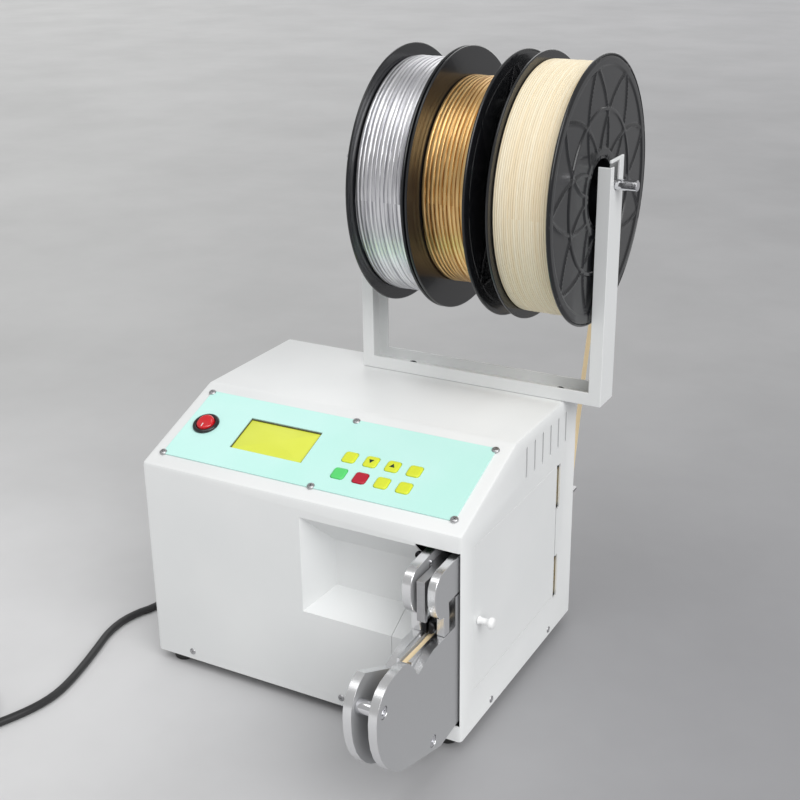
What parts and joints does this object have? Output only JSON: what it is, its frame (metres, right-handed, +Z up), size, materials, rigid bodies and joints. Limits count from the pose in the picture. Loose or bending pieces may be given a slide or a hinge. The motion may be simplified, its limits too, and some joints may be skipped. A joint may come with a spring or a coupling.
{
  "type": "bench_cable_winding_and_tying_machine",
  "caption": "Bench cable winding and tying machine: white sheet-metal housing with a sloping key panel, an aluminium tying arm and jaws at the front, and a rack of tie-ribbon spools on top",
  "frame": {"origin": "centre of the machine's bounding box without its mains lead, on the floor under the feet", "axes": "+X to the right seen from the operator, +Y from the operator's front to the back, +Z up"},
  "size_m": [0.5602, 0.5405, 0.5199],
  "materials": {
    "white_paint": "satin powder coat",
    "fascia_film": "satin",
    "display": "glossy",
    "black_gloss": "glossy",
    "red_gloss": "glossy",
    "key_yellow": "satin",
    "key_green": "satin",
    "key_red": "satin",
    "aluminium": "satin",
    "steel": "satin",
    "chrome": "polished",
    "rubber": "matte",
    "spool_plastic": "glossy",
    "silver_foil": "glossy foil",
    "gold_foil": "glossy foil",
    "cream_paper": "matte",
    "brass": "satin",
    "board_green": "satin",
    "motor_black": "satin",
    "cord_rubber": "satin"
  },
  "bodies": {
    "housing": {"main_cover": "white_paint", "throat_plate": "white_paint", "base_pan": "steel", "rear_panel": "white_paint", "foot_front_left": "rubber", "foot_front_right": "rubber", "foot_rear_left": "rubber", "foot_rear_right": "rubber", "fascia_plate": "fascia_film", "display_module": "display", "control_board": "board_green", "switch_housing": "black_gloss", "hinge_lower": "brass", "hinge_upper": "brass", "lower_arm_left": "aluminium", "lower_arm_right": "aluminium", "arm_rod_front": "chrome", "arm_rod_lower": "chrome", "ribbon_channel": "aluminium", "mechanism_frame": "steel", "jaw_motor": "motor_black", "feed_motor": "motor_black", "twist_motor": "motor_black", "power_supply": "steel", "spool_bracket": "white_paint", "tie_ribbon": "cream_paper", "ribbon_guide": "steel", "cord_gland": "rubber", "power_cord": "cord_rubber", "cord_coil": "cord_rubber", "cord_tie": "motor_black", "mains_plug": "motor_black"},
    "door": {"side_door": "white_paint", "door_knob": "white_paint"},
    "rocker": {"power_rocker": "red_gloss"},
    "jaws": {"jaw_left": "aluminium", "jaw_right": "aluminium", "jaw_slide": "steel"},
    "pinion": {"jaw_pinion": "brass"},
    "spindle": {"twist_spindle": "steel"},
    "drive": {"twist_drive_gear": "brass"},
    "feed": {"feed_roller": "rubber"},
    "lever": {"pinch_lever": "steel"},
    "pinch": {"pinch_roller": "chrome"},
    "shaft": {"spool_shaft": "chrome"},
    "reel_silver": {"spool_silver": "spool_plastic", "winding_silver": "silver_foil"},
    "reel_gold": {"spool_gold": "spool_plastic", "winding_gold": "gold_foil"},
    "reel_cream": {"spool_cream": "spool_plastic", "winding_cream": "cream_paper"},
    "body_key_1_1": {"key_1_1": "key_yellow"},
    "body_key_1_2": {"key_1_2": "key_yellow"},
    "body_key_1_3": {"key_1_3": "key_yellow"},
    "body_key_1_4": {"key_1_4": "key_yellow"},
    "body_key_2_1": {"key_2_1": "key_green"},
    "body_key_2_2": {"key_2_2": "key_red"},
    "body_key_2_3": {"key_2_3": "key_yellow"},
    "body_key_2_4": {"key_2_4": "key_yellow"}
  },
  "joints": [
    {"name": "door_hinge", "type": "hinge", "parent": "housing", "child": "door", "pos_m": [0.1214, 0.09385, 0.046], "axis": [0, 0, 1], "range_deg": [0, 90]},
    {"name": "power_switch", "type": "hinge", "parent": "housing", "child": "rocker", "pos_m": [-0.1443, -0.04652, 0.21545], "axis": [1, 0, 0], "range_deg": [-14, 0]},
    {"name": "jaw_travel", "type": "slide", "parent": "housing", "child": "jaws", "axis": [0, -1, 0], "range_m": [0, 0.022]},
    {"name": "pinion_turn", "type": "hinge", "parent": "housing", "child": "pinion", "pos_m": [0.10685, -0.01915, 0.14228], "axis": [1, 0, 0], "range_deg": [0, 140.1]},
    {"name": "twist_drive_turn", "type": "hinge", "parent": "housing", "child": "drive", "pos_m": [0.10685, -0.02915, 0.1005], "axis": [0, 1, 0], "continuous": true},
    {"name": "spindle_turn", "type": "hinge", "parent": "housing", "child": "spindle", "pos_m": [0.10685, -0.11915, 0.123], "axis": [0, 1, 0], "continuous": true},
    {"name": "feed_turn", "type": "hinge", "parent": "housing", "child": "feed", "pos_m": [0.10685, -0.01915, 0.052], "axis": [1, 0, 0], "continuous": true},
    {"name": "pinch_lift", "type": "hinge", "parent": "housing", "child": "lever", "pos_m": [0.10685, -0.01315, 0.095], "axis": [-1, 0, 0], "range_deg": [0, 6], "stiffness_Nm_per_rad": 0.05},
    {"name": "pinch_turn", "type": "hinge", "parent": "lever", "child": "pinch", "pos_m": [0.10685, -0.01915, 0.0711], "axis": [1, 0, 0], "continuous": true},
    {"name": "shaft_lift", "type": "slide", "parent": "housing", "child": "shaft", "axis": [0, 0, 1], "range_m": [0, 0.012]},
    {"name": "reel_silver_turn", "type": "hinge", "parent": "shaft", "child": "reel_silver", "pos_m": [-0.0294, 0.11315, 0.4108], "axis": [1, 0, 0], "continuous": true},
    {"name": "reel_gold_turn", "type": "hinge", "parent": "shaft", "child": "reel_gold", "pos_m": [0.0236, 0.11315, 0.4108], "axis": [1, 0, 0], "continuous": true},
    {"name": "reel_cream_turn", "type": "hinge", "parent": "shaft", "child": "reel_cream", "pos_m": [0.0926, 0.11315, 0.4108], "axis": [1, 0, 0], "continuous": true},
    {"name": "press_1_1", "type": "slide", "parent": "housing", "child": "body_key_1_1", "axis": [0, 0.3552, -0.9348], "range_m": [0, 0.0005], "stiffness_N_per_m": 600},
    {"name": "press_1_2", "type": "slide", "parent": "housing", "child": "body_key_1_2", "axis": [0, 0.3552, -0.9348], "range_m": [0, 0.0005], "stiffness_N_per_m": 600},
    {"name": "press_1_3", "type": "slide", "parent": "housing", "child": "body_key_1_3", "axis": [0, 0.3552, -0.9348], "range_m": [0, 0.0005], "stiffness_N_per_m": 600},
    {"name": "press_1_4", "type": "slide", "parent": "housing", "child": "body_key_1_4", "axis": [0, 0.3552, -0.9348], "range_m": [0, 0.0005], "stiffness_N_per_m": 600},
    {"name": "press_2_1", "type": "slide", "parent": "housing", "child": "body_key_2_1", "axis": [0, 0.3552, -0.9348], "range_m": [0, 0.0005], "stiffness_N_per_m": 600},
    {"name": "press_2_2", "type": "slide", "parent": "housing", "child": "body_key_2_2", "axis": [0, 0.3552, -0.9348], "range_m": [0, 0.0005], "stiffness_N_per_m": 600},
    {"name": "press_2_3", "type": "slide", "parent": "housing", "child": "body_key_2_3", "axis": [0, 0.3552, -0.9348], "range_m": [0, 0.0005], "stiffness_N_per_m": 600},
    {"name": "press_2_4", "type": "slide", "parent": "housing", "child": "body_key_2_4", "axis": [0, 0.3552, -0.9348], "range_m": [0, 0.0005], "stiffness_N_per_m": 600}
  ],
  "couplings": [
    {"joint": "pinion_turn", "follows": "jaw_travel", "rad_per_m": 111.11},
    {"joint": "twist_drive_turn", "follows": "spindle_turn", "ratio": -0.5}
  ]
}
